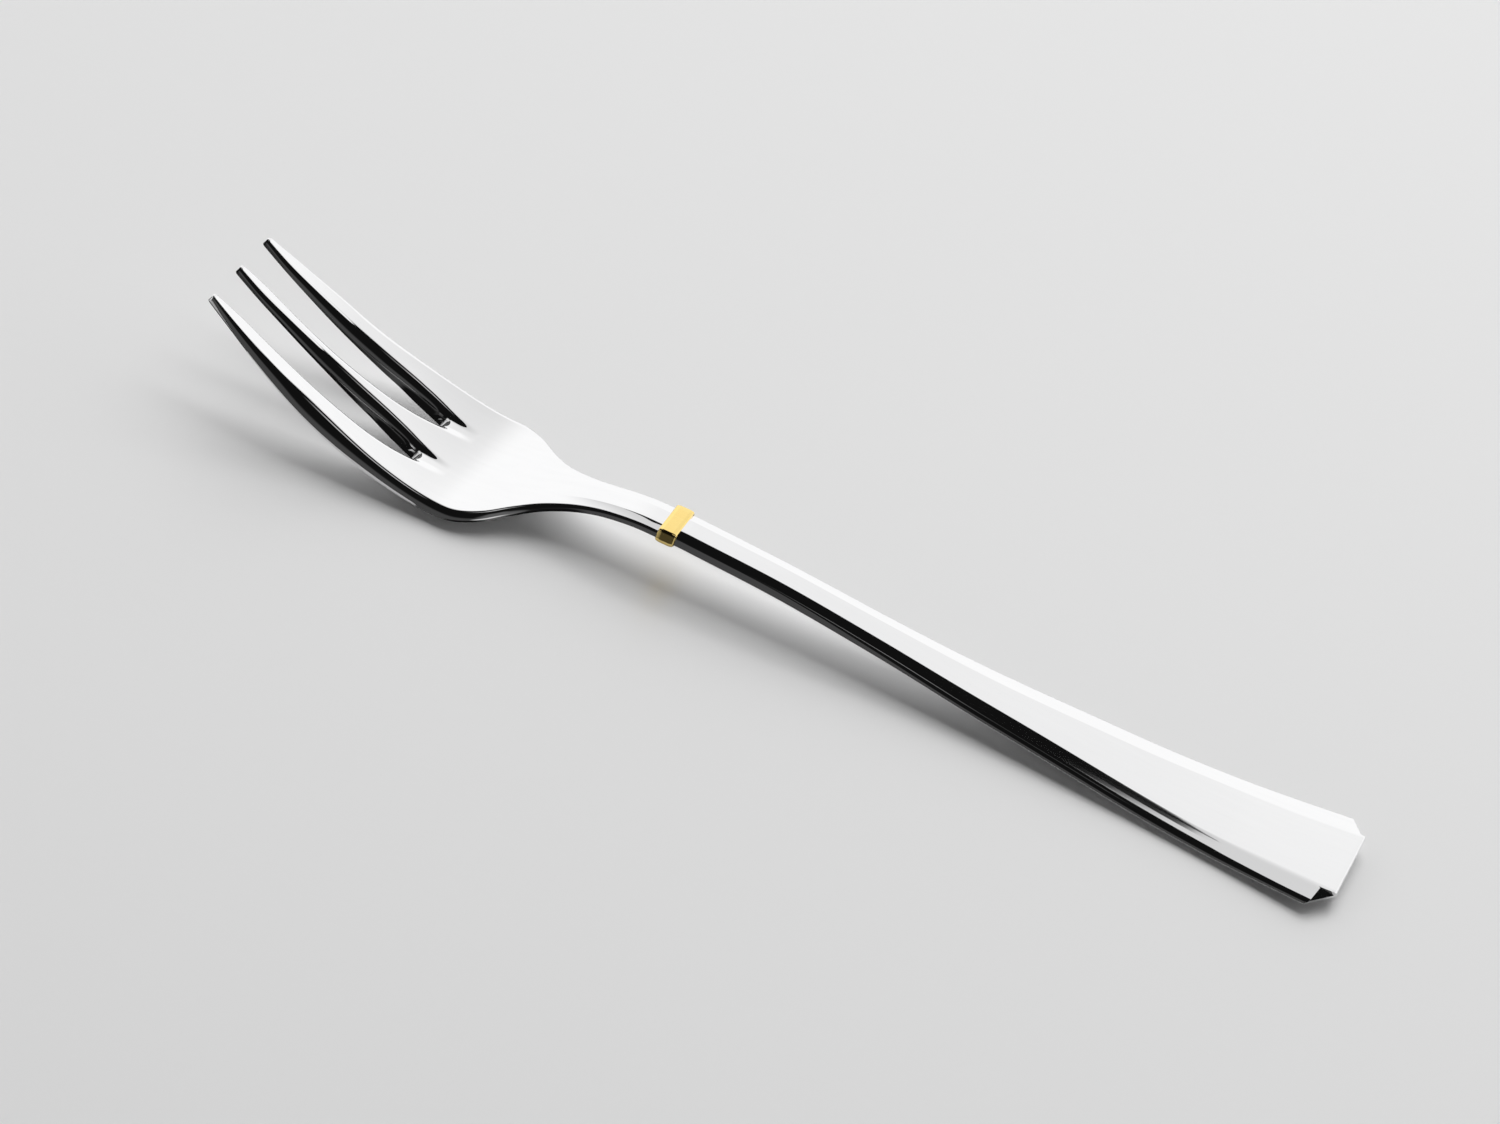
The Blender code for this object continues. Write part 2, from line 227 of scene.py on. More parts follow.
def across(edge, inside):
    """Plan rows from an edge to a line inside it, close together at both."""
    share = np.array([0, 0.006, 0.02, 0.042, 0.07, 0.1, 0.135, 0.17, 0.21, 0.25, 0.3, 0.35, 0.4, 0.45,
                      0.5, 0.55, 0.6, 0.65, 0.7, 0.75, 0.8, 0.85, 0.9, 0.94, 0.97, 0.99, 1])
    share = share[None, :, None]
    return edge[:, None, :] * (1 - share) + inside[:, None, :] * share


def plan(x, y):
    """Points of the plan."""
    return np.stack([x, y + 0 * x], axis=-1)


def between(upper, under):
    """A wall from the upper edge to the under edge."""
    return np.stack([mix(upper, under, share) for share in (0, 0.3, 0.7, 1)])


# One half of the plan in four blocks: both sides of a slot as far as its root, the round of the
# root, the outer half of the outer tine, and the bowl with the neck. Rows lie closest at the tips.
tine_x = mix(TIP_START, SLOT_ROOT - ROOT_RADIUS, np.linspace(0, 1, 96) ** 1.25)
tip_squeeze = mix(TIP_SQUEEZE, 1, tip_fullness(tine_x))
centre_edge = (slot_offset(tine_x) - slot_width(tine_x) / 2) * tip_squeeze
ridge = ridge_share(tine_x) * outer_edge(tine_x)
inner_edge = mix(ridge, slot_offset(tine_x) + slot_width(tine_x) / 2, tip_squeeze)
tine_outer = mix(ridge, outer_edge(tine_x), tip_squeeze)
centre_half = across(plan(tine_x, centre_edge), plan(tine_x, 0))
inner_half = across(plan(tine_x, inner_edge), plan(tine_x, ridge))
outer_half = across(plan(tine_x, tine_outer), plan(tine_x, ridge))

root_x = tine_x[-1]
reach_x = SLOT_ROOT + ROOT_REACH
turn = np.linspace(-pi / 2, pi / 2, 49)
root_arc = plan(root_x + ROOT_RADIUS * np.cos(turn), ROOT_OFFSET + ROOT_RADIUS * np.sin(turn))
side_x = np.linspace(root_x, reach_x, 13)
side_ridge = ridge_share(side_x) * outer_edge(side_x)
far_y = np.linspace(0, side_ridge[-1], 25)
root_frame = np.vstack([plan(side_x, 0)[:-1], plan(reach_x + 0 * far_y, far_y),
                        plan(side_x, side_ridge)[::-1][1:]])
root_round = across(root_arc, root_frame)
root_outer = across(plan(side_x, outer_edge(side_x)), plan(side_x, side_ridge))

bowl_x = np.linspace(reach_x, JOINT, 110)
bowl_ridge = ridge_share(bowl_x) * outer_edge(bowl_x)
bowl_outer = across(plan(bowl_x, outer_edge(bowl_x)), plan(bowl_x, bowl_ridge))
middle_y = bowl_ridge[:, None] * (far_y[::-1] / far_y[-1])
bowl_middle = plan(bowl_x[:, None] + 0 * middle_y, middle_y)


def head_patch(rows, from_outer):
    """The upper and under face of one block of plan rows."""
    distance = np.linalg.norm(rows - rows[:, :1], axis=-1)
    x = rows[..., 0]
    y = rows[..., 1]
    edge_x = rows[:, :1, :1]
    if from_outer:
        width = np.minimum(outer_round(x), ROUND_LIMIT * distance[:, -1:])
        fall = outer_drop(x) * edge_fall(distance, width)
        wall = 1 - outer_drop(edge_x)
        splay = outer_splay(edge_x)
    else:
        fall = slot_fall(x, y)
        wall = 1 - slot_drop(edge_x)
        splay = slot_splay(edge_x)
    thick = mix(tine_thickness(edge_x), RIM_WALL, neck_share(edge_x))
    below = splayed(rows, np.minimum(splay * thick * wall, SPLAY_LIMIT))
    wall = wall[..., 0]
    upper = head_faces(x, y, distance, fall, wall)[0]
    under = head_faces(below[..., 0], below[..., 1], distance, fall, wall)[1]
    return [upper, under]


centre_faces = head_patch(centre_half, False)
inner_faces = head_patch(inner_half, False)
outer_faces = head_patch(outer_half, True)
root_faces = head_patch(root_round, False)
side_faces = head_patch(root_outer, True)
bowl_faces = head_patch(bowl_outer, True)
far_from_edges = 99.0
middle_faces = head_faces(bowl_middle[..., 0], bowl_middle[..., 1], far_from_edges, 0.0, 0.0)

half_head = []
blocks = (centre_faces, inner_faces, outer_faces, root_faces, side_faces, bowl_faces, middle_faces)
for faces in blocks:
    half_head.extend(faces)
slot_lines = []
rim_lines = []
tine_end_lines = []
joint_lines = []
for centre, inner, outer, root, flank, bowl, middle in zip(*blocks):
    slot_lines.append(np.vstack([centre[:, 0], root[1:-1, 0], inner[::-1, 0]]))
    rim_lines.append(np.vstack([outer[:, 0], flank[1:-1, 0], bowl[:, 0]]))
    tine_end_lines.append(np.vstack([inner[0], outer[0, ::-1][1:]]))
    joint_lines.append(np.vstack([bowl[-1], middle[-1, 1:]]))
for lines in (slot_lines, rim_lines, tine_end_lines):
    half_head.append(between(*lines))
half_head.append(between(centre_faces[0][0], centre_faces[1][0]))

# The end of the neck, and the tang that stands on it.
joint_upper, joint_under = joint_lines
joint_wall = between(joint_upper[:1], joint_under[:1])[1:-1, 0]
half_ring = np.vstack([joint_upper[::-1], joint_wall, joint_under])


def on_block(ring, width, height, x):
    """The points of a ring, drawn in to the outline of a square bar at x."""
    middle = (ring[:, 2].max() + ring[:, 2].min()) / 2
    y = ring[:, 1]
    z = ring[:, 2] - middle
    tiny = 1e-9
    across_scale = width / 2 / np.maximum(np.abs(y), tiny)
    up_scale = height / 2 / np.maximum(np.abs(z), tiny)
    scale = np.minimum(across_scale, up_scale)
    return np.stack([0 * y + x, y * scale, middle + z * scale], axis=-1)


tang_start = on_block(half_ring, TANG_WIDTH, TANG_HEIGHT, JOINT)
tang_end = on_block(half_ring, TANG_WIDTH, TANG_HEIGHT, JOINT + TANG_LENGTH)
half_head.append(np.stack([half_ring, tang_start, tang_end]))


WELD = 0.001
SLIVER = 0.0005


def placed(name, data):
    """A new object in the scene."""
    thing = bpy.data.objects.new(name, data)
    bpy.context.collection.objects.link(thing)
    return thing


def shade_smooth(mesh, sharp):
    """Smooth shading that breaks at edges which turn by more than the sharp angle."""
    for face in mesh.polygons:
        face.use_smooth = True
    mesh.set_sharp_from_angle(angle=sharp)


def woven_mesh(name, patches):
    """One closed mesh from grids of points and their mirror images, welded and capped."""
    bm = bmesh.new()
    for grid in patches:
        for side in (1, -1):
            points = grid * (MM, side * MM, MM) + (TIPS, 0, 0)
            verts = [[bm.verts.new(p) for p in row] for row in points]
            for upper, lower in zip(verts, verts[1:]):
                for a, b, c, d in zip(upper, upper[1:], lower[1:], lower):
                    bm.faces.new((a, b, c, d))
    bmesh.ops.remove_doubles(bm, verts=bm.verts, dist=WELD * MM)
    bmesh.ops.dissolve_degenerate(bm, edges=bm.edges, dist=SLIVER * MM)
    bmesh.ops.holes_fill(bm, edges=[edge for edge in bm.edges if edge.is_boundary], sides=0)
    bmesh.ops.recalc_face_normals(bm, faces=bm.faces)
    if bm.calc_volume(signed=True) < 0:
        bmesh.ops.reverse_faces(bm, faces=bm.faces)
    mesh = bpy.data.meshes.new(name)
    bm.to_mesh(mesh)
    bm.free()
    shade_smooth(mesh, radians(50))
    return placed(name, mesh)


fork_head = woven_mesh("fork_head_steel", half_head)


# Buffed metal: hairlines along the fork from the last mop, a few stray scratches from use,
# and broad faint smears where the polish is a little duller.
def buffing_marks():
    group = bpy.data.node_groups.new("buffing marks", "ShaderNodeTree")
    for name, default in (("Hairlines", 900.0), ("Smears", 60.0), ("Gloss", 0.05), ("Dull", 0.12)):
        socket = group.interface.new_socket(name, in_out="INPUT", socket_type="NodeSocketFloat")
        socket.default_value = default
    for name in ("Tone", "Roughness", "Height"):
        group.interface.new_socket(name, in_out="OUTPUT", socket_type="NodeSocketFloat")
    nodes = group.nodes
    links = group.links
    entry = nodes.new("NodeGroupInput")
    result = nodes.new("NodeGroupOutput")
    place = nodes.new("ShaderNodeTexCoord")

    stretch = nodes.new("ShaderNodeMapping")
    stretch.inputs["Scale"].default_value = (0.06, 1.0, 1.0)
    hairlines = nodes.new("ShaderNodeTexNoise")
    hairlines.inputs["Detail"].default_value = 3.0
    hairlines.inputs["Roughness"].default_value = 0.6
    links.new(place.outputs["Object"], stretch.inputs["Vector"])
    links.new(stretch.outputs["Vector"], hairlines.inputs["Vector"])
    links.new(entry.outputs["Hairlines"], hairlines.inputs["Scale"])

    smears = nodes.new("ShaderNodeTexNoise")
    smears.inputs["Detail"].default_value = 4.0
    smears.inputs["Distortion"].default_value = 0.6
    links.new(place.outputs["Object"], smears.inputs["Vector"])
    links.new(entry.outputs["Smears"], smears.inputs["Scale"])

    slant = nodes.new("ShaderNodeMapping")
    slant.inputs["Rotation"].default_value = (0.0, 0.0, 0.5)
    slant.inputs["Scale"].default_value = (40.0, 1400.0, 400.0)
    scratches = nodes.new("ShaderNodeTexNoise")
    scratches.inputs["Scale"].default_value = 1.0
    scratches.inputs["Detail"].default_value = 1.0
    links.new(place.outputs["Object"], slant.inputs["Vector"])
    links.new(slant.outputs["Vector"], scratches.inputs["Vector"])
    scratch = nodes.new("ShaderNodeMapRange")
    scratch.inputs["From Min"].default_value = 0.73
    scratch.inputs["From Max"].default_value = 0.8
    links.new(scratches.outputs["Fac"], scratch.inputs["Value"])

    wear = nodes.new("ShaderNodeMapRange")
    wear.inputs["From Min"].default_value = 0.35
    wear.inputs["From Max"].default_value = 0.7
    links.new(smears.outputs["Fac"], wear.inputs["Value"])
    worn = nodes.new("ShaderNodeMath")
    worn.operation = "MAXIMUM"
    links.new(wear.outputs["Result"], worn.inputs[0])
    links.new(scratch.outputs["Result"], worn.inputs[1])
    rough = nodes.new("ShaderNodeMapRange")
    links.new(worn.outputs["Value"], rough.inputs["Value"])
    links.new(entry.outputs["Gloss"], rough.inputs["To Min"])
    links.new(entry.outputs["Dull"], rough.inputs["To Max"])
    links.new(rough.outputs["Result"], result.inputs["Roughness"])

    tone = nodes.new("ShaderNodeMath")
    tone.operation = "MULTIPLY_ADD"
    tone.inputs[1].default_value = 0.6
    links.new(hairlines.outputs["Fac"], tone.inputs[0])
    lighter = nodes.new("ShaderNodeMath")
    lighter.operation = "MULTIPLY"
    lighter.inputs[1].default_value = 0.4
    links.new(smears.outputs["Fac"], lighter.inputs[0])
    links.new(lighter.outputs["Value"], tone.inputs[2])
    links.new(tone.outputs["Value"], result.inputs["Tone"])

    depth = nodes.new("ShaderNodeMath")
    depth.operation = "MULTIPLY_ADD"
    depth.inputs[1].default_value = -0.7
    links.new(scratch.outputs["Result"], depth.inputs[0])
    links.new(hairlines.outputs["Fac"], depth.inputs[2])
    links.new(depth.outputs["Value"], result.inputs["Height"])
    return group


buffing = buffing_marks()


def buffed_metal(name, dark, light, gloss, dull, bump):
    """A polished metal whose colour, gloss and surface follow the buffing marks."""
    metal = bpy.data.materials.new(name)
    metal.use_nodes = True
    nodes = metal.node_tree.nodes
    links = metal.node_tree.links
    shader = nodes["Principled BSDF"]
    shader.inputs["Metallic"].default_value = 1.0
    rubbed = nodes.new("ShaderNodeGroup")
    rubbed.node_tree = buffing
    rubbed.inputs["Gloss"].default_value = gloss
    rubbed.inputs["Dull"].default_value = dull
    colour = nodes.new("ShaderNodeMix")
    colour.data_type = "RGBA"
    colour.inputs["A"].default_value = (*dark, 1.0)
    colour.inputs["B"].default_value = (*light, 1.0)
    links.new(rubbed.outputs["Tone"], colour.inputs["Factor"])
    links.new(colour.outputs["Result"], shader.inputs["Base Color"])
    links.new(rubbed.outputs["Roughness"], shader.inputs["Roughness"])
    relief = nodes.new("ShaderNodeBump")
    relief.inputs["Strength"].default_value = 1.0
    relief.inputs["Distance"].default_value = bump
    links.new(rubbed.outputs["Height"], relief.inputs["Height"])
    links.new(relief.outputs["Normal"], shader.inputs["Normal"])
    return metal


STEEL_DARK = (0.84, 0.84, 0.845)
STEEL_LIGHT = (0.9, 0.9, 0.903)
STEEL_GLOSS = 0.015
STEEL_DULL = 0.035
STEEL_MARKS = 0.00000006


def mirror_steel(name):
    return buffed_metal(name, STEEL_DARK, STEEL_LIGHT, STEEL_GLOSS, STEEL_DULL, STEEL_MARKS)


head_steel = mirror_steel("mirror steel head")
fork_head.data.materials.append(head_steel)
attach(fork_head, "root")
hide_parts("fork_head")


# The handle: a solid bar of the same steel, ground with a flat top between two shallow bevels.
# It starts as slim as the neck, flares to a wide end that lies on the table, and its two end
# corners are clipped and ground down to small facets. The tang sits in a blind hole in its front.

REST_START = 127.0
REST_END = 135.0
REST_THICKNESS = 1.6
REST_EASE = 6.0
REST_EASE_START = REST_START - 25
REST_EASE_FORMED = REST_START - 12
END_LIFT = 0.7
LIFT_POWER = 1.4
END_WIDTH = 17.8
END_FLAT = 11.6
END_CHAMFER = 1.6
END_ROUND = 0.3
END_THICKNESS = 1.1

# The section starts as the neck's at the collar, and has a slimmer wall and rounder edges further on.
SLIM_START = 72.0
SLIM_FORMED = 100.0
SLIM_WALL = 0.62
LEAST_WALL = 0.15
HOLLOW_START = 63.0
HOLLOW_END = 67.0
FULL_AT_COLLAR = 0.7
FULL_BEHIND = 0.92
EDGE_EASE = 0.3
HANDLE_SPLAY = 0.5
BROW_AT_COLLAR = 0.08
BROW = 0.3
BROW_SHARE = 0.6
EDGE_RADIUS_AT_COLLAR = 0.2
EDGE_RADIUS = 0.5
CREASE_RADIUS = 0.8
END_CREASE_RADIUS = 9.0
CREASE_FADE_START = 129.0
CREASE_FADE_END = 143.0
BEVEL_RADIUS = 4.0
FOOT_RADIUS = 0.08
FOOT_SHARE = 0.2
UNDER_RADIUS = 0.4

# The clipped corners and their facets, and how far the cuts reach past the steel.
CORNER_LENGTH = 2.5
CORNER_WIDTH = 3.1
CLIP_LEAN = 0.9
FACET_LENGTH = 2.0
FACET_STEP = 0.14
FACET_SLOPE = radians(16)
FACET_REACH = 6.0
FACET_BACK = 1.0
CUT_MARGIN = 3.0
CUT_REACH = 9.0
EDGE_BREAK = 0.05
SOCKET_CLEARANCE = 0.08
FINE_START = 130.0

handle_start = JOINT + SEAT


def even_curve(start, end, *sizes):
    """A smooth curve through sizes at even steps."""
    return through(*zip(np.linspace(start, end, len(sizes)), sizes))


handle_fall = even_curve(handle_start, REST_START, 0, 0.14, 0.39, 0.65, 0.83, 1)
handle_flare = even_curve(handle_start, FORK_LENGTH, 0, 0.02, 0.11, 0.3, 0.53, 0.77, 1)
flat_flare = even_curve(handle_start, FORK_LENGTH, 0, 0.01, 0.08, 0.23, 0.49, 0.79, 1)


def fillet(corners, radii, steps):
    """An open outline with its inner corners rounded to their radii."""
    points = [corners[0]]
    for before, corner, after, radius, count in zip(corners, corners[1:], corners[2:], radii, steps):
        before, corner, after = Vector(before), Vector(corner), Vector(after)
        back = (before - corner).normalized()
        on = (after - corner).normalized()
        half = back.angle(on) / 2
        centre = corner + (back + on).normalized() * (radius / sin(half))
        first = corner + back * (radius / tan(half)) - centre
        last = corner + on * (radius / tan(half)) - centre
        for i in range(count + 1):
            spoke = first.lerp(last, i / count).normalized() * radius
            points.append(tuple(centre + spoke))
    points.append(corners[-1])
    return points


def handle_section(x):
    """Half the section of the handle, from the top over the bevel and the wall to the underside."""
    ease = REST_EASE * ramp(REST_EASE_START, REST_EASE_FORMED, x)
    fall = float(np.mean(handle_fall(x + ease * np.linspace(-1, 1, 13))))
    turn_up = max(0, (x - REST_END) / (FORK_LENGTH - REST_END)) ** LIFT_POWER
    end_fall = END_ROUND * float(edge_fall(FORK_LENGTH - x, END_ROUND))
    top = mix(NECK_HEIGHT, REST_THICKNESS, fall) + END_LIFT * turn_up - end_fall
    under_lift = END_LIFT + REST_THICKNESS - END_THICKNESS
    under = mix(NECK_HEIGHT - NECK_THICKNESS, 0, fall) + under_lift * turn_up
    width = mix(NECK_WIDTH, END_WIDTH, float(handle_flare(x))) / 2
    flat = mix(NECK_FLAT, END_FLAT, float(flat_flare(x))) / 2
    along = max(0, (x - handle_start) / (FORK_LENGTH - handle_start))
    chamfer = mix((NECK_WIDTH - NECK_UNDER_FLAT) / 2, END_CHAMFER, min(1, 2 * along))
    slim = float(ramp(SLIM_START, SLIM_FORMED, x))
    foot = max(top + end_fall - BEVEL_DROP - mix(RIM_WALL, SLIM_WALL, slim), under + LEAST_WALL)
    full = mix(FULL_AT_COLLAR, FULL_BEHIND, float(ramp(HOLLOW_START, HOLLOW_END, x)))
    last = 1 - EDGE_EASE / (width - flat)
    bevel = []
    for share in np.linspace(0, last, 5):
        bevel.append((mix(flat, width, share), top - BEVEL_DROP * hollow_bevel(share, full)))
    brow = min(mix(BROW_AT_COLLAR, BROW, slim), BROW_SHARE * (bevel[-1][1] - foot))
    edge = (bevel[-1][0] + brow, bevel[-1][1] - brow)
    wall = edge[1] - foot
    wall_foot = (edge[0] + HANDLE_SPLAY * wall, foot)
    corners = [(0, top), *bevel, edge, wall_foot, (width - chamfer, under), (0, under)]
    crease = mix(CREASE_RADIUS, END_CREASE_RADIUS, float(ramp(CREASE_FADE_START, CREASE_FADE_END, x)))
    turn_in = mix(EDGE_RADIUS_AT_COLLAR, EDGE_RADIUS, slim)
    foot_radius = min(FOOT_RADIUS, FOOT_SHARE * wall)
    radii = (crease, *[BEVEL_RADIUS] * 3, turn_in, turn_in, foot_radius, UNDER_RADIUS)
    outline = fillet(corners, radii, (5, 2, 2, 2, 6, 4, 4, 4))
    return [(x, y, z) for y, z in outline]


# Sections from the joint to the end, closer together where the end turns up and rounds over.
end_turn = np.linspace(0, pi / 2, 7)[1:]
handle_x = np.concatenate([np.linspace(JOINT, FINE_START, 110),
                           np.linspace(FINE_START, FORK_LENGTH - END_ROUND, 50)[1:],
                           FORK_LENGTH - END_ROUND * (1 - np.sin(end_turn))])
handle_sections = np.array([handle_section(x) for x in handle_x])
mouth_width = TANG_WIDTH + 2 * SOCKET_CLEARANCE
mouth_height = TANG_HEIGHT + 2 * SOCKET_CLEARANCE
mouth = on_block(handle_sections[0], mouth_width, mouth_height, JOINT)
hole_depth = TANG_LENGTH + SOCKET_CLEARANCE
hole_end = on_block(handle_sections[0], mouth_width, mouth_height, JOINT + hole_depth)
handle = woven_mesh("handle_steel", [np.concatenate([[hole_end, mouth], handle_sections])])


def settle(piece):
    """Turns a piece with its modifiers into a plain mesh."""
    bpy.context.view_layer.update()
    ready = piece.evaluated_get(bpy.context.evaluated_depsgraph_get())
    mesh = bpy.data.meshes.new_from_object(ready)
    piece.modifiers.clear()
    piece.data = mesh


def cut_away(piece, low, high):
    """Takes the block between two rings of points away from a piece."""
    bm = bmesh.new()
    lower = [bm.verts.new((TIPS + x * MM, y * MM, z * MM)) for x, y, z in low]
    upper = [bm.verts.new((TIPS + x * MM, y * MM, z * MM)) for x, y, z in high]
    bm.faces.new(lower)
    bm.faces.new(upper)
    for i in range(len(lower)):
        j = (i + 1) % len(lower)
        bm.faces.new((lower[i], lower[j], upper[j], upper[i]))
    bmesh.ops.recalc_face_normals(bm, faces=bm.faces)
    mesh = bpy.data.meshes.new("cutter")
    bm.to_mesh(mesh)
    bm.free()
    cutter = placed("cutter", mesh)
    cut = piece.modifiers.new("cut", "BOOLEAN")
    cut.object = cutter
    cut.operation = "DIFFERENCE"
    cut.solver = "EXACT"
    settle(piece)
    bpy.data.objects.remove(cutter)


def break_edges(piece, segments, angle):
    """Rounds the sharp edges of a piece by a hair."""
    soften = piece.modifiers.new("soften", "BEVEL")
    soften.width = EDGE_BREAK * MM
    soften.segments = segments
    soften.limit_method = "ANGLE"
    soften.angle_limit = angle
    settle(piece)


def true_faces(piece):
    """Keeps flat faces looking flat up to their rounded edges."""
    piece.modifiers.new("true faces", "WEIGHTED_NORMAL").keep_sharp = True
    settle(piece)


# The end corners: each is clipped by a leaning cut, and a sloping facet is ground down beside it.
end_top = REST_THICKNESS + END_LIFT
diagonal = Vector((CORNER_LENGTH, -CORNER_WIDTH)).normalized()
out = Vector((-diagonal.y, diagonal.x))
first_x = FORK_LENGTH - CORNER_LENGTH - CUT_MARGIN * diagonal.x
first_y = END_WIDTH / 2 - CUT_MARGIN * diagonal.y
last_x = FORK_LENGTH + CUT_MARGIN * diagonal.x
last_y = END_WIDTH / 2 - CORNER_WIDTH + CUT_MARGIN * diagonal.y
beyond = FORK_LENGTH + CUT_REACH
clip = [(first_x, first_y), (last_x, last_y), (beyond, last_y), (beyond, first_y + CUT_MARGIN)]
clip_foot = [(x - CLIP_LEAN * out.x, y - CLIP_LEAN * out.y) for x, y in clip]
inner = Vector((FORK_LENGTH - FACET_LENGTH, END_FLAT / 2))
facet = [inner, inner + Vector((FACET_REACH, 0)), inner + FACET_REACH * out,
         inner + Vector((-FACET_BACK, FACET_REACH))]
facet_z = [end_top - FACET_STEP - (p - inner).dot(out) * tan(FACET_SLOPE) for p in facet]
for side in (1, -1):
    cut_away(handle, [(x, side * y, 0) for x, y in clip_foot], [(x, side * y, end_top) for x, y in clip])
    cut_away(handle, [(p.x, side * p.y, z) for p, z in zip(facet, facet_z)],
             [(p.x, side * p.y, CUT_REACH) for p in facet])

break_edges(handle, 2, radians(32))
shade_smooth(handle.data, radians(18))
true_faces(handle)

handle_steel = mirror_steel("mirror steel handle")
handle.data.materials.clear()
handle.data.materials.append(handle_steel)
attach(handle, "root")
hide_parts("handle")


# The collar: a closed band of gold-coloured metal with chamfered ends, drawn over the joint of
# neck and handle and brazed there. Its outline follows the bevelled section under it.

COLLAR_LENGTH = 2.3
COLLAR_CENTRE = 60.83
COLLAR_TOP = 5.44
COLLAR_FOOT = 6.56
COLLAR_SIDE = 1.1
COLLAR_WALL = 0.2
COLLAR_CLEARANCE = 0.05
BAND_LIP = 0.02
CHAMFER_RISE = 0.12
CHAMFER_RUN = 0.1
CROWN_RUN = 0.5
BAND_CORNER = 0.25
GOLD_DARK = (0.95, 0.66, 0.2)
GOLD_LIGHT = (1.0, 0.82, 0.35)
GOLD_GLOSS = 0.06
GOLD_DULL = 0.14
GOLD_MARKS = 0.0000004


def poly_curve(name, points):
    """A closed outline as a curve."""
    data = bpy.data.curves.new(name, "CURVE")
    data.dimensions = "3D"
    spline = data.splines.new("POLY")
    spline.points.add(len(points) - 1)
    for slot, point in zip(spline.points, points):
        slot.co = (*point, 0.0, 1.0)
    spline.use_cyclic_u = True
    return placed(name, data)


half_outline = [(COLLAR_TOP / 2, NECK_HEIGHT), (COLLAR_FOOT / 2, NECK_HEIGHT - COLLAR_SIDE),
                (NECK_UNDER_FLAT / 2, NECK_HEIGHT - NECK_THICKNESS)]
band_path = poly_curve("band path", [(y * MM, z * MM) for y, z in half_outline]
                       + [(-y * MM, z * MM) for y, z in half_outline[::-1]])
half_length = COLLAR_LENGTH / 2
half_band = [(0.0, half_length), (BAND_LIP, half_length), (CHAMFER_RISE, half_length - CHAMFER_RUN),
             (COLLAR_WALL, half_length - CROWN_RUN)]
band_outline = [(r, -x) for r, x in half_band] + half_band[::-1]
band_profile = poly_curve("band profile",
                          [(-(COLLAR_CLEARANCE + r) * MM, x * MM) for r, x in band_outline])

band_tree = bpy.data.node_groups.new("collar band", "GeometryNodeTree")
band_sockets = {}
for name, kind in (("Geometry", "Geometry"), ("Profile", "Object"),
                   ("Corner Radius", "Float"), ("Metal", "Material")):
    socket = band_tree.interface.new_socket(name, in_out="INPUT", socket_type="NodeSocket" + kind)
    band_sockets[name] = socket
band_tree.interface.new_socket("Geometry", in_out="OUTPUT", socket_type="NodeSocketGeometry")
entry = band_tree.nodes.new("NodeGroupInput")
result = band_tree.nodes.new("NodeGroupOutput")
corner = band_tree.nodes.new("GeometryNodeFilletCurve")
corner.mode = "POLY"
corner.inputs["Count"].default_value = 6
corner.inputs["Limit Radius"].default_value = True
upright = band_tree.nodes.new("GeometryNodeSetCurveNormal")
upright.mode = "Z_UP"
profile = band_tree.nodes.new("GeometryNodeObjectInfo")
sweep = band_tree.nodes.new("GeometryNodeCurveToMesh")
real = band_tree.nodes.new("GeometryNodeRealizeInstances")
painted = band_tree.nodes.new("GeometryNodeSetMaterial")
band_tree.links.new(entry.outputs["Geometry"], corner.inputs["Curve"])
band_tree.links.new(entry.outputs["Corner Radius"], corner.inputs["Radius"])
band_tree.links.new(corner.outputs["Curve"], upright.inputs["Curve"])
band_tree.links.new(entry.outputs["Profile"], profile.inputs["Object"])
band_tree.links.new(upright.outputs["Curve"], sweep.inputs["Curve"])
band_tree.links.new(profile.outputs["Geometry"], sweep.inputs["Profile Curve"])
band_tree.links.new(sweep.outputs["Mesh"], real.inputs["Geometry"])
band_tree.links.new(real.outputs["Geometry"], painted.inputs["Geometry"])
band_tree.links.new(entry.outputs["Metal"], painted.inputs["Material"])
band_tree.links.new(painted.outputs["Geometry"], result.inputs["Geometry"])

collar_gold = buffed_metal("polished gold band", GOLD_DARK, GOLD_LIGHT, GOLD_GLOSS, GOLD_DULL, GOLD_MARKS)
sweeping = band_path.modifiers.new("band", "NODES")
sweeping.node_group = band_tree
sweeping[band_sockets["Profile"].identifier] = band_profile
sweeping[band_sockets["Corner Radius"].identifier] = BAND_CORNER * MM
sweeping[band_sockets["Metal"].identifier] = collar_gold
bpy.context.view_layer.update()
band = band_path.evaluated_get(bpy.context.evaluated_depsgraph_get())
band_mesh = bpy.data.meshes.new_from_object(band)

# The inner edge of the band is bent down to the bevels under it.
bevel_run = NECK_WIDTH / 2 - NECK_FLAT / 2
upper_half = (NECK_HEIGHT - 0.5 * COLLAR_SIDE) * MM
for i, vert in enumerate(band_mesh.vertices):
    inside = i % len(band_outline) in (0, len(band_outline) - 1)
    if inside and vert.co.y > upper_half:
        share = max(0, (abs(vert.co.x) / MM - NECK_FLAT / 2) / bevel_run)
        vert.co.y -= BEVEL_DROP * MM * share
bpy.data.objects.remove(band_path)
bpy.data.objects.remove(band_profile)

# The band was drawn in its own plane, with x across the fork and y up, and is turned to lie along it.
band_place = TIPS + COLLAR_CENTRE * MM
band_mesh.transform(Matrix(((0, 0, 1, band_place), (1, 0, 0, 0), (0, 1, 0, 0), (0, 0, 0, 1))))
gold_collar = placed("gold_collar_band", band_mesh)
shape = bmesh.new()
shape.from_mesh(band_mesh)
bmesh.ops.recalc_face_normals(shape, faces=shape.faces)
shape.to_mesh(band_mesh)
shape.free()
shade_smooth(band_mesh, radians(30))
break_edges(gold_collar, 3, radians(10))
true_faces(gold_collar)
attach(gold_collar, "root")
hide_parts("gold_collar")


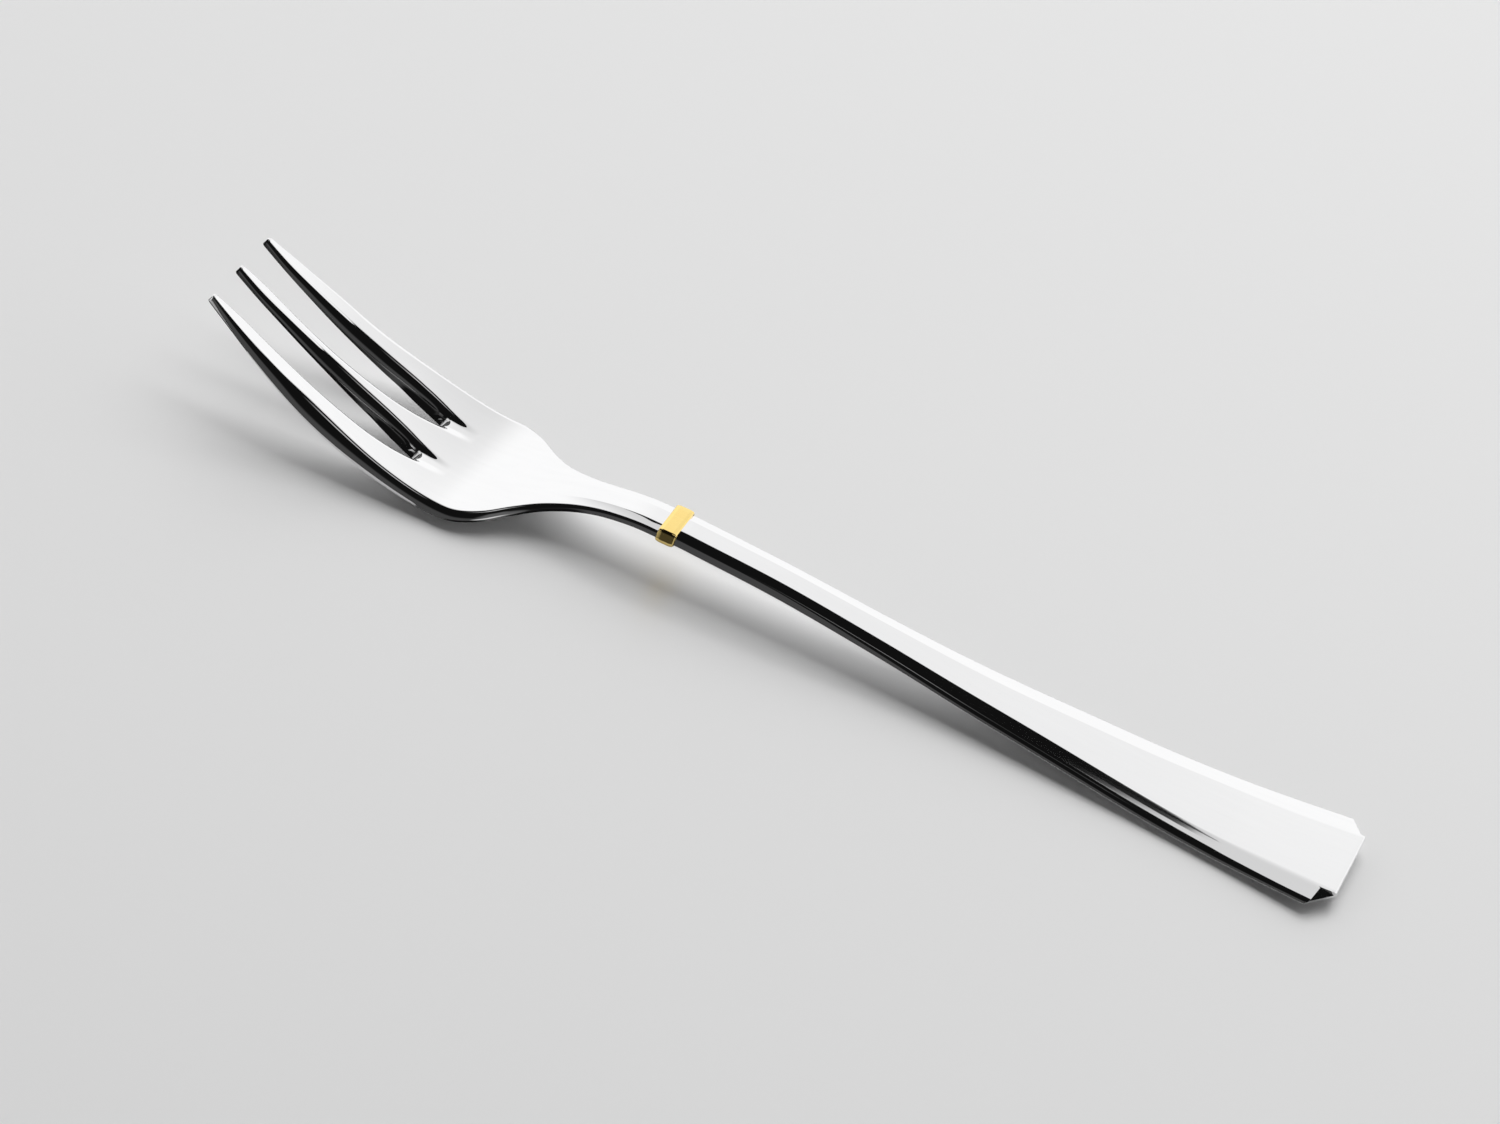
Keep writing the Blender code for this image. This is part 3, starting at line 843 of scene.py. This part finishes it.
# The table: a wide flat board with a pale satin finish. The fork lies on it, on its bowl and on
# the flat near the end of its handle.

TABLE_REACH = 4.0
TABLE_COLOUR = (0.8, 0.8, 0.8, 1.0)

sheet = bmesh.new()
bmesh.ops.create_grid(sheet, x_segments=1, y_segments=1, size=TABLE_REACH)
sheet_mesh = bpy.data.meshes.new("table_top")
sheet.to_mesh(sheet_mesh)
sheet.free()
table_top = placed("table_top", sheet_mesh)
pale = bpy.data.materials.new("pale table")
pale.use_nodes = True
pale_shader = pale.node_tree.nodes["Principled BSDF"]
pale_shader.inputs["Roughness"].default_value = 0.38
pale_shader.inputs["Metallic"].default_value = 0.2
pale_shader.inputs["Base Color"].default_value = TABLE_COLOUR
sheet_mesh.materials.append(pale)


# The light of a small studio: a long white wall behind the fork that ends in a sharp upper edge,
# a tall white panel to the right of it, soft lights on the left, low at the front right and
# overhead, and a dim room in front. A softbox that only the table sees gives the soft shadow.

WALL_LIGHT = 1.1
WALL_UPPER_LIGHT = 0.74
WALL_END = 0.8018
WALL_END_BLUR = 0.003
SIDE_LIGHT = 0.75
RIGHT_UPPER_LIGHT = 0.12
OVERHEAD_LIGHT = 0.5
FRONT_LIGHT = 0.06
FRONT_UPPER_LIGHT = 0.006
PANEL_SLANT = 0.12
KEY_POWER = 7.5

room = bpy.context.scene.world or bpy.data.worlds.new("studio")
bpy.context.scene.world = room
room.use_nodes = True
nodes = room.node_tree.nodes
links = room.node_tree.links
backing = nodes["Background"]
way = nodes.new("ShaderNodeTexCoord")
axes = nodes.new("ShaderNodeSeparateXYZ")
links.new(way.outputs["Generated"], axes.inputs["Vector"])

# Directions in the room: right, back and up, each from -1 to 1.
right = axes.outputs["X"]
back = axes.outputs["Y"]
up = axes.outputs["Z"]


def fade(value, start, end, low, high):
    """A smooth change from low to high while value goes from start to end."""
    node = nodes.new("ShaderNodeMapRange")
    node.interpolation_type = "SMOOTHSTEP"
    links.new(value, node.inputs["Value"])
    limits = {"From Min": start, "From Max": end, "To Min": low, "To Max": high}
    for name, number in limits.items():
        node.inputs[name].default_value = number
    return node.outputs["Result"]


def combine(operation, first, second):
    """The result of a sum on two sockets or numbers."""
    node = nodes.new("ShaderNodeMath")
    node.operation = operation
    for socket, given in zip(node.inputs, (first, second)):
        if hasattr(given, "is_linked"):
            links.new(given, socket)
        else:
            socket.default_value = given
    return node.outputs["Value"]


def product(first, *others):
    for other in others:
        first = combine("MULTIPLY", first, other)
    return first


def brightest(first, *others):
    for other in others:
        first = combine("MAXIMUM", first, other)
    return first


# Each light is a patch of directions that fades out at its edges.
wall = product(fade(up, 0.55, 0.79, WALL_LIGHT, WALL_UPPER_LIGHT),
               fade(up, WALL_END, WALL_END + WALL_END_BLUR, 1.0, 0.0),
               fade(back, 0.0, 0.4, 0.0, 1.0))
sideways = combine("ADD", right, combine("MULTIPLY", PANEL_SLANT, back))
panel = product(fade(sideways, 0.417, 0.427, 0.0, 1.0), fade(back, 0.04, 0.12, 0.0, 1.0))
beside = fade(combine("ABSOLUTE", right, 0.0), 0.45, 0.65, 0.0, 1.0)
left_light = product(fade(right, -0.65, -0.45, SIDE_LIGHT, 0.0), fade(up, 0.28, 0.36, 0.0, 1.0))
right_light = product(fade(back, -0.5, -0.4, 1.0, 0.0),
                      fade(up, 0.26, 0.34, SIDE_LIGHT, RIGHT_UPPER_LIGHT))
sides = product(beside, brightest(left_light, right_light), fade(up, 0.6, 0.75, 1.0, 0.0))
overhead = product(fade(right, -0.1, 0.1, 0.0, 1.0), fade(right, 0.22, 0.36, 1.0, 0.0),
                   fade(combine("ABSOLUTE", back, 0.0), 0.1, 0.15, OVERHEAD_LIGHT, 0.0),
                   fade(up, 0.5, 0.6, 0.0, 1.0))
front = fade(up, 0.3, 0.45, FRONT_LIGHT, FRONT_UPPER_LIGHT)
links.new(brightest(wall, front, panel, sides, overhead), backing.inputs["Color"])
backing.inputs["Strength"].default_value = 1.0

key_data = bpy.data.lights.new("key softbox", "AREA")
key_data.shape = "RECTANGLE"
key_data.size = 1.0
key_data.size_y = 0.7
key_data.energy = KEY_POWER
key = placed("key softbox", key_data)
key.location = (0.0, 0.5, 0.9)
key.rotation_euler = (Vector((0, 0, 0)) - key.location).to_track_quat("-Z", "Y").to_euler()
key.visible_camera = False
key.visible_glossy = False


# The camera looks down on the fork from the front and a little from the right through a long lens,
# turned about its own line of sight so that the fork lies aslant in the picture.

CAMERA_PLACE = Vector((0.099424, -0.4502, 0.378208))
AIM_POINT = Vector((-0.004428, 0.001104, 0.005))
CAMERA_ROLL = radians(16.463)

lens = bpy.data.cameras.new("camera")
lens.lens = 120.0
lens.sensor_width = 36.0
lens.clip_start = 0.01
camera = placed("camera", lens)
camera.location = CAMERA_PLACE
aim = AIM_POINT - CAMERA_PLACE
roll = Quaternion((0, 0, 1), CAMERA_ROLL)
camera.rotation_euler = (aim.to_track_quat("-Z", "Y") @ roll).to_euler()
bpy.context.scene.camera = camera
bpy.context.scene.view_settings.view_transform = "Standard"
